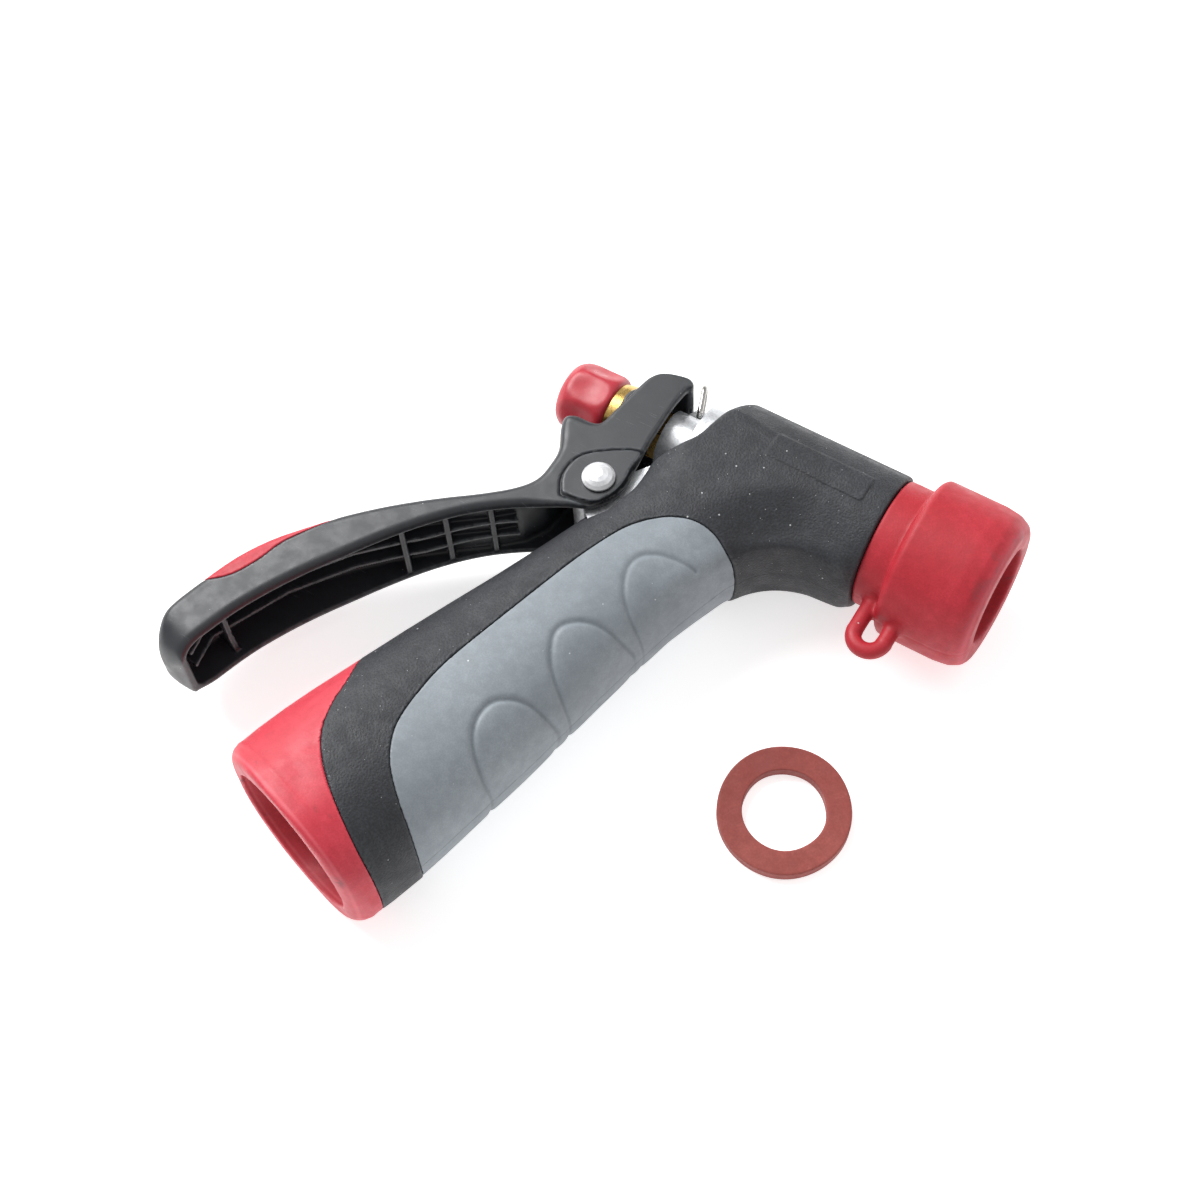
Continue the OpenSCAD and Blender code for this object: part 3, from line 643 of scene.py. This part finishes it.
class Mat:
    def __init__(self, name):
        self.m = bpy.data.materials.new(name)
        self.m.use_nodes = True
        self.t = self.m.node_tree
        self.t.nodes.clear()
        self.out = self.t.nodes.new("ShaderNodeOutputMaterial")
        self.b = self.t.nodes.new("ShaderNodeBsdfPrincipled")
        self.t.links.new(self.b.outputs[0], self.out.inputs[0])
        tc = self.t.nodes.new("ShaderNodeTexCoord")
        mp = self.t.nodes.new("ShaderNodeMapping")
        mp.inputs["Scale"].default_value = (1000, 1000, 1000)
        self.t.links.new(tc.outputs["Object"], mp.inputs["Vector"])
        self.co = mp.outputs[0]

    def set(self, **kw):
        for k, v in kw.items():
            self.b.inputs[k.replace("_", " ")].default_value = v
        return self

    def put(self, sock, v):
        if hasattr(v, "links") or isinstance(v, bpy.types.NodeSocket):
            self.t.links.new(v, sock)
        else:
            sock.default_value = v

    def mapped(self, scale, rot=(0, 0, 0)):
        mp = self.t.nodes.new("ShaderNodeMapping")
        mp.inputs["Scale"].default_value = scale
        mp.inputs["Rotation"].default_value = rot
        self.t.links.new(self.co, mp.inputs["Vector"])
        return mp.outputs[0]

    def noise(self, scale, detail=3.0, rough=0.55, co=None, dist=0.0):
        n = self.t.nodes.new("ShaderNodeTexNoise")
        n.inputs["Scale"].default_value = scale
        n.inputs["Detail"].default_value = detail
        n.inputs["Roughness"].default_value = rough
        n.inputs["Distortion"].default_value = dist
        self.t.links.new(co or self.co, n.inputs["Vector"])
        return n.outputs["Fac"]

    def voronoi(self, scale, feature="F1", out="Distance", co=None, smooth=None):
        n = self.t.nodes.new("ShaderNodeTexVoronoi")
        n.feature = feature
        n.inputs["Scale"].default_value = scale
        if smooth is not None and "Smoothness" in n.inputs:
            n.inputs["Smoothness"].default_value = smooth
        self.t.links.new(co or self.co, n.inputs["Vector"])
        return n.outputs[out]

    def attr(self, name):
        n = self.t.nodes.new("ShaderNodeAttribute")
        n.attribute_name = name
        return n.outputs["Fac"]

    def geo(self, out="Pointiness"):
        return self.t.nodes.new("ShaderNodeNewGeometry").outputs[out]

    def math(self, op, a, b=0.0, c=0.0):
        n = self.t.nodes.new("ShaderNodeMath")
        n.operation = op
        self.put(n.inputs[0], a)
        self.put(n.inputs[1], b)
        self.put(n.inputs[2], c)
        return n.outputs[0]

    def ramp(self, v, lo, hi, a=0.0, b=1.0):
        n = self.t.nodes.new("ShaderNodeMapRange")
        n.interpolation_type = "SMOOTHSTEP"
        self.put(n.inputs["Value"], v)
        n.inputs["From Min"].default_value = lo
        n.inputs["From Max"].default_value = hi
        n.inputs["To Min"].default_value = a
        n.inputs["To Max"].default_value = b
        return n.outputs["Result"]

    def mix(self, fac, a, b, mode="MIX"):
        n = self.t.nodes.new("ShaderNodeMix")
        n.data_type = "RGBA"
        n.blend_type = mode
        self.put(n.inputs[0], fac)
        self.put(n.inputs[6], a)
        self.put(n.inputs[7], b)
        return n.outputs[2]

    def sep(self, v, axis):
        n = self.t.nodes.new("ShaderNodeSeparateXYZ")
        self.t.links.new(v, n.inputs[0])
        return n.outputs[axis]

    def dust(self, scale, size, share, seed=0.0):
        """Sparse specks: cells of which a share holds one speck of the given size."""
        n = self.t.nodes.new("ShaderNodeTexVoronoi")
        n.inputs["Scale"].default_value = scale
        n.inputs["Randomness"].default_value = 1.0
        mp = self.t.nodes.new("ShaderNodeMapping")
        mp.inputs["Location"].default_value = (seed, seed * 0.7, seed * 1.3)
        self.t.links.new(self.co, mp.inputs["Vector"])
        self.t.links.new(mp.outputs[0], n.inputs["Vector"])
        c = self.sep(n.outputs["Color"], 0)
        pick = self.ramp(c, 1 - share, 1 - share + 0.02)
        spot = self.ramp(n.outputs["Distance"], size * 0.55, size, 1.0, 0.0)
        return self.math("MULTIPLY", pick, spot)

    def bump(self, height, dist_mm, strength=1.0, normal=None):
        n = self.t.nodes.new("ShaderNodeBump")
        n.inputs["Strength"].default_value = strength
        n.inputs["Distance"].default_value = dist_mm / 1000
        self.t.links.new(height, n.inputs["Height"])
        if normal is not None:
            self.t.links.new(normal, n.inputs["Normal"])
        return n.outputs[0]

    def finish(self, color, rough, normal=None):
        self.put(self.b.inputs["Base Color"], color)
        self.put(self.b.inputs["Roughness"], rough)
        if normal is not None:
            self.t.links.new(normal, self.b.inputs["Normal"])
        return self.m


def rubber(name, base, light, dark, rough=0.62, spec=0.4, grain=0.05, grain_scale=3.2, dusty=0.35, seam=None, extra=None, pebble=0.30, wear=0.5, specks=lin(205, 208, 210)):
    """Moulded soft rubber: fine leathery grain, mottled colour, pale edges, dust."""
    m = Mat(name)
    m.set(Specular_IOR_Level=spec)
    big = m.ramp(m.noise(0.055, 3, 0.5), 0.32, 0.70)
    mid = m.ramp(m.noise(0.45, 4, 0.6), 0.30, 0.72)
    col = m.mix(m.math("MULTIPLY", big, 0.6), base, light)
    col = m.mix(m.math("MULTIPLY", mid, 0.38), col, dark)
    fine = m.noise(grain_scale, 3, 0.62, dist=0.25)
    cell = m.voronoi(grain_scale * 0.8, "SMOOTH_F1", smooth=0.55)
    grainy = m.math("ADD", m.math("MULTIPLY", fine, 0.65), m.math("MULTIPLY", cell, 0.5))
    col = m.mix(m.ramp(grainy, 0.40, 0.80, pebble, 0.0), col, dark)
    edge = m.ramp(m.geo(), 0.505, 0.545)
    edge = m.math("MULTIPLY", edge, m.ramp(m.noise(0.9, 3), 0.34, 0.62))
    col = m.mix(m.math("MULTIPLY", edge, wear), col, light)
    if seam is not None:
        # painted shade: the colour darkens towards the seams where this rubber meets the next part
        near = m.ramp(m.attr(seam), 0.03, 0.20, 0.5, 0.0)
        col = m.mix(near, col, dark)
    d = m.math("MAXIMUM", m.dust(0.42, 0.085, 0.30 * dusty), m.dust(1.15, 0.10, 0.12 * dusty, 7.3))
    col = m.mix(m.math("MULTIPLY", d, 0.75), col, specks)
    if extra is not None:
        col = extra(m, col)
    r = m.math("ADD", m.ramp(m.noise(0.3, 3), 0.3, 0.7, rough - 0.07, rough + 0.07), m.math("MULTIPLY", edge, -0.08))
    n = m.bump(grainy, grain, 0.9)
    n = m.bump(m.noise(0.16, 2), 0.10, 0.6, n)
    return m, col, r, n


def give(ob, mat):
    ob.data.materials.clear()
    ob.data.materials.append(mat)


# black overmould
def black_extra(m, col):
    # painted shade: a dark line along the mid-plane parting groove
    parting_groove_shade = m.ramp(m.math("ABSOLUTE", m.attr("zc")), 0.04, 0.16, 0.55, 0.0)
    col = m.mix(parting_groove_shade, col, lin(24, 24, 26))
    # painted shade: a dark band round the foot of the raised blank plate's step
    lab = m.ramp(m.math("ABSOLUTE", m.math("SUBTRACT", m.attr("lab"), 0.1)), 0.0, 0.22, 0.35, 0.0)
    return m.mix(lab, col, lin(30, 30, 32))


m, c, r, n = rubber("black_grip_rubber", lin(50, 52, 56), lin(64, 67, 71), lin(27, 27, 31), rough=0.58, spec=0.42, grain=0.16, grain_scale=3.0, dusty=1.5,
                    seam="seam", extra=black_extra, pebble=0.60)
n = m.bump(m.ramp(m.math("ABSOLUTE", m.attr("zc")), 0.02, 0.16), 0.10, 1.0, n)
give(grip, m.finish(c, r, n))


# grey finger panel
def grey_extra(m, col):
    # painted shade: the colour darkens along the finger-arch grooves
    a = m.ramp(m.attr("arch"), 0.0, 0.55, 0.40, 0.0)
    col = m.mix(a, col, lin(74, 82, 88))
    # painted shade: a dark line along the mid-plane parting groove
    parting_groove_shade = m.ramp(m.math("ABSOLUTE", m.attr("zc")), 0.04, 0.16, 0.5, 0.0)
    return m.mix(parting_groove_shade, col, lin(80, 86, 90))


m, c, r, n = rubber("grey_panel_rubber", lin(136, 144, 150), lin(154, 162, 168), lin(112, 119, 125), rough=0.55, spec=0.4, grain=0.018, grain_scale=4.2, dusty=0.35,
                    seam="seam", extra=grey_extra, wear=0.25, specks=lin(225, 228, 230))
n = m.bump(m.ramp(m.math("ABSOLUTE", m.attr("zc")), 0.02, 0.16), 0.10, 1.0, n)
give(pan, m.finish(c, r, n))


# red cap and red bumper
def cap_extra(m, col):
    # painted highlight: a lighter pink band round the rounded rim of the cap's mouth
    lip = m.ramp(m.math("ABSOLUTE", m.math("SUBTRACT", m.attr("rim"), 1.1)), 0.0, 0.5, 0.35, 0.0)
    col = m.mix(lip, col, lin(226, 112, 122))
    grime = m.math("MULTIPLY", m.ramp(m.noise(0.35, 4, 0.6, dist=0.4), 0.60, 0.74), m.ramp(m.attr("rim"), 1.0, 9.0, 0.55, 0.0))
    col = m.mix(grime, col, lin(96, 52, 56))
    return m.mix(m.math("MULTIPLY", m.ramp(m.attr("smudge"), 0.2, 2.3, 0.62, 0.0), m.ramp(m.noise(0.9, 4, 0.6), 0.30, 0.62)), col, lin(96, 62, 66))


m, c, r, n = rubber("red_cap_rubber", lin(200, 56, 70), lin(214, 74, 88), lin(170, 38, 52), rough=0.50, spec=0.42, grain=0.02, grain_scale=3.8, dusty=0.12, extra=cap_extra, wear=0.45)
give(capo, m.finish(c, r, n))


def bump_extra(m, col):
    grime = m.math("MULTIPLY", m.ramp(m.noise(0.28, 4, 0.6, dist=0.5), 0.55, 0.72), m.ramp(m.attr("xs"), 4.0, 8.6, 0.0, 0.5))
    col = m.mix(grime, col, lin(104, 62, 68))
    # painted highlight: a lighter pink ring round the bumper's rounded front rim
    front_rim_highlight = m.math("MULTIPLY", m.ramp(m.math("ABSOLUTE", m.math("SUBTRACT", m.attr("rad"), 14.3)), 0.0, 1.2, 0.30, 0.0), m.ramp(m.attr("xs"), 6.0, 8.2))
    return m.mix(front_rim_highlight, col, lin(222, 110, 122))


m, c, r, n = rubber("red_bumper_rubber", lin(178, 36, 48), lin(196, 52, 66), lin(148, 24, 34), rough=0.54, spec=0.42, grain=0.03, grain_scale=3.4, dusty=0.12, extra=bump_extra, wear=0.4)
give(bump, m.finish(c, r, n))

m, c, r, n = rubber("red_pad_rubber", lin(190, 44, 58), lin(212, 72, 86), lin(158, 28, 40), rough=0.5, spec=0.42, grain=0.02, grain_scale=3.8, dusty=0.12)
give(padp, m.finish(c, r, n))

m, c, r, n = rubber("red_knob_plastic", lin(178, 44, 56), lin(194, 60, 72), lin(150, 30, 42), rough=0.40, spec=0.5, grain=0.010, grain_scale=5.0, dusty=0.06, wear=0.35)
give(knb, m.finish(c, r, n))

# loose washer: brick red moulded rubber with a faint cloth-like texture
m, c, r, n = rubber("washer_brick_rubber", lin(148, 70, 64), lin(166, 88, 80), lin(122, 54, 50), rough=0.66, spec=0.35, grain=0.035, grain_scale=2.6, dusty=0.10, wear=0.5, specks=lin(196, 150, 144))
give(wsh, m.finish(c, r, n))

# lever: satin black plastic with fine moulding texture; its convex edges are made a little glossier and lightened as a
# painted highlight on the bevels
m = Mat("black_lever_plastic")
m.set(Specular_IOR_Level=0.5)
big = m.ramp(m.noise(0.05, 3), 0.35, 0.68)
col = m.mix(m.math("MULTIPLY", big, 0.3), lin(40, 42, 46), lin(50, 53, 57))
fine = m.noise(5.5, 2, 0.6)
col = m.mix(m.ramp(fine, 0.35, 0.65, 0.22, 0.0), col, lin(26, 27, 29))
# painted highlight: convex edges lightened towards pale grey
edge = m.math("MULTIPLY", m.ramp(m.geo(), 0.507, 0.55), m.ramp(m.noise(0.7, 3), 0.3, 0.6))
col = m.mix(m.math("MULTIPLY", edge, 0.5), col, lin(98, 102, 105))
# painted shade: a dark ring in the groove round the pivot boss
col = m.mix(m.ramp(m.math("ABSOLUTE", m.math("SUBTRACT", m.attr("boss"), 0.2)), 0.0, 0.32, 0.7, 0.0), col, lin(18, 18, 20))
scr = m.noise(1.0, 2, 0.5, co=m.mapped((0.25, 5.0, 0.6), (0, 0, 0.75)))
scr = m.math("MULTIPLY", m.ramp(scr, 0.66, 0.70), m.ramp(m.noise(0.12, 2), 0.5, 0.62, 0.0, 0.35))
col = m.mix(scr, col, lin(112, 116, 120))
col = m.mix(m.math("MULTIPLY", m.dust(0.6, 0.07, 0.12), 0.7), col, lin(200, 202, 204))
rr_ = m.math("ADD", m.ramp(m.noise(0.35, 3), 0.3, 0.7, 0.34, 0.46), m.math("MULTIPLY", edge, -0.08))
nn_ = m.bump(fine, 0.016, 0.9)
nn_ = m.bump(m.noise(0.14, 2), 0.10, 0.5, nn_)
give(lev, m.finish(col, rr_, nn_))


def metal(name, base, light, dark, rough, spread=0.08, brushed=None, tarnish=None, tarnish_share=0.4, bumps=0.01, cast=False, metallic=1.0):
    m = Mat(name)
    m.set(Metallic=metallic)
    big = m.ramp(m.noise(0.22, 4, 0.6), 0.32, 0.68)
    col = m.mix(m.math("MULTIPLY", big, 0.7), base, light)
    if tarnish is not None:
        tn = m.math("MULTIPLY", m.ramp(m.noise(0.55, 5, 0.65, dist=0.5), 0.52, 0.70), tarnish_share)
        col = m.mix(tn, col, tarnish)
    edge = m.ramp(m.geo(), 0.51, 0.56)
    col = m.mix(m.math("MULTIPLY", edge, 0.5), col, light)
    pit = m.ramp(m.noise(2.6, 4, 0.6), 0.35, 0.60, 0.35, 0.0)
    col = m.mix(pit, col, dark)
    fine = m.noise(2.2 if cast else 6.0, 4, 0.65, co=m.mapped(brushed) if brushed else None)
    r = m.ramp(m.noise(0.6, 4), 0.3, 0.7, rough - spread, rough + spread)
    n = m.bump(fine, bumps, 1.0)
    return m.finish(col, r, n)


mats = {
    "die_cast": metal("zinc_die_cast", lin(214, 216, 220), lin(236, 238, 240), lin(166, 168, 172), 0.42, 0.10, bumps=0.05, cast=True, metallic=0.85),
    "brass": metal("turned_brass", lin(204, 162, 84), lin(228, 194, 120), lin(150, 112, 52), 0.27, 0.08, brushed=(0.3, 3.0, 3.0), tarnish=lin(132, 98, 52), bumps=0.012),
    "white_polymer": None, "bright_steel": metal("bright_rivet_steel", lin(232, 233, 236), lin(246, 247, 248), lin(206, 208, 211), 0.36, 0.05, bumps=0.003, metallic=0.7),
    "steel": metal("stem_steel", lin(206, 208, 212), lin(228, 230, 232), lin(150, 152, 156), 0.24, 0.07, brushed=(0.25, 4.0, 4.0), bumps=0.008),
    "spring_steel": metal("spring_wire_steel", lin(176, 178, 182), lin(206, 208, 210), lin(112, 114, 118), 0.30, 0.08, bumps=0.008),
    "wire_steel": metal("clip_wire_steel", lin(172, 170, 166), lin(214, 212, 208), lin(104, 102, 98), 0.25, 0.08, bumps=0.008),
}
m, c, r, n = rubber("white_gland_polymer", lin(226, 226, 220), lin(238, 238, 234), lin(200, 200, 192), rough=0.42, spec=0.5, grain=0.008, grain_scale=4.0, dusty=0.0)
mats["white_polymer"] = m.finish(c, r, n)
m, c, r, n = rubber("black_seal_rubber", lin(34, 34, 36), lin(50, 50, 53), lin(20, 20, 22), rough=0.5, spec=0.4, grain=0.015, grain_scale=4.0, dusty=0.1)
mats["seal_rubber"] = m.finish(c, r, n)

give(ins, mats["brass"])
give(wire, mats["wire_steel"])
NODE_MATS = {"body_casting": "die_cast", "valve_seat": "brass", "packing_ring": "white_polymer", "packing_nut": "brass", "pivot_rivet": "bright_steel",
             "valve_stem": "steel", "spring_collar": "steel", "valve_plug": "brass", "plug_seal": "seal_rubber", "seal_screw": "brass",
             "valve_spring": "spring_steel", "thrust_washer": "brass", "knob_insert": "brass"}
for node, slot in NODE_MATS.items():
    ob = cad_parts[node]
    mat = mats[slot]
    if ob.material_slots:
        for sl in ob.material_slots:
            sl.material = mat
    else:
        ob.data.materials.append(mat)

# ------------------------------------------------------------------ floor, light, camera
me = bpy.data.meshes.new("floor")
S = 3.0
me.from_pydata([(-S, -S, 0), (S, -S, 0), (S, S, 0), (-S, S, 0)], [], [(0, 1, 2, 3)])
floor = bpy.data.objects.new("floor", me)
bpy.context.scene.collection.objects.link(floor)
fm = Mat("studio_paper")
fm.set(Specular_IOR_Level=0.1, Emission_Color=(1.0, 1.0, 1.0, 1.0), Emission_Strength=0.58)
tone = fm.ramp(fm.noise(0.02, 2), 0.3, 0.7)
floor.data.materials.append(fm.finish(fm.mix(tone, (0.93, 0.93, 0.93, 1), (0.95, 0.95, 0.95, 1)), 0.9, fm.bump(fm.noise(2.0, 2), 0.01, 0.3)))

world = bpy.data.worlds.new("studio")
bpy.context.scene.world = world
world.use_nodes = True
world.node_tree.nodes["Background"].inputs[0].default_value = (1.0, 1.0, 1.0, 1)
world.node_tree.nodes["Background"].inputs[1].default_value = 0.50

RIGHT = Vector((0.8328, 0.5535, 0))
AWAY = Vector((-0.5535, 0.8328, 0))
MID = Vector((0.0, 0.02, 0.012))


def area(name, at, size, power, color=(1, 1, 1)):
    d = bpy.data.lights.new(name, "AREA")
    d.shape = "DISK"
    d.size = size
    d.energy = power
    d.color = color
    o = bpy.data.objects.new(name, d)
    o.location = at
    o.rotation_euler = (MID - Vector(at)).to_track_quat("-Z", "Y").to_euler()
    bpy.context.scene.collection.objects.link(o)
    return o


area("key", MID - RIGHT * 0.40 + AWAY * 0.52 + Vector((0, 0, 0.66)), 0.70, 11.5)
area("fill", MID + RIGHT * 0.55 + AWAY * 0.20 + Vector((0, 0, 0.70)), 0.7, 0.8)

cam = bpy.data.cameras.new("camera")
cam.lens = 63.0
cam.sensor_width = 36.0
cam.clip_start = 0.01
cam_ob = bpy.data.objects.new("camera", cam)
bpy.context.scene.collection.objects.link(cam_ob)
CD = np.array([54.807, -194.184, 347.328])
FD = np.array([-0.27861, 0.39446, -0.87566])
UD = np.array([-0.43678, 0.75997, 0.48132])
RD = np.array([0.85533, 0.51658, -0.03944])
loc = (ROT @ CD + LIE_AT) / 1000
r_, u_, f_ = ROT @ RD, ROT @ UD, ROT @ FD
mw = Matrix(((r_[0], u_[0], -f_[0], loc[0]), (r_[1], u_[1], -f_[1], loc[1]), (r_[2], u_[2], -f_[2], loc[2]), (0, 0, 0, 1)))
cam_ob.matrix_world = mw
bpy.context.scene.camera = cam_ob
bpy.context.scene.view_settings.view_transform = "Standard"

bpy.context.view_layer.update()
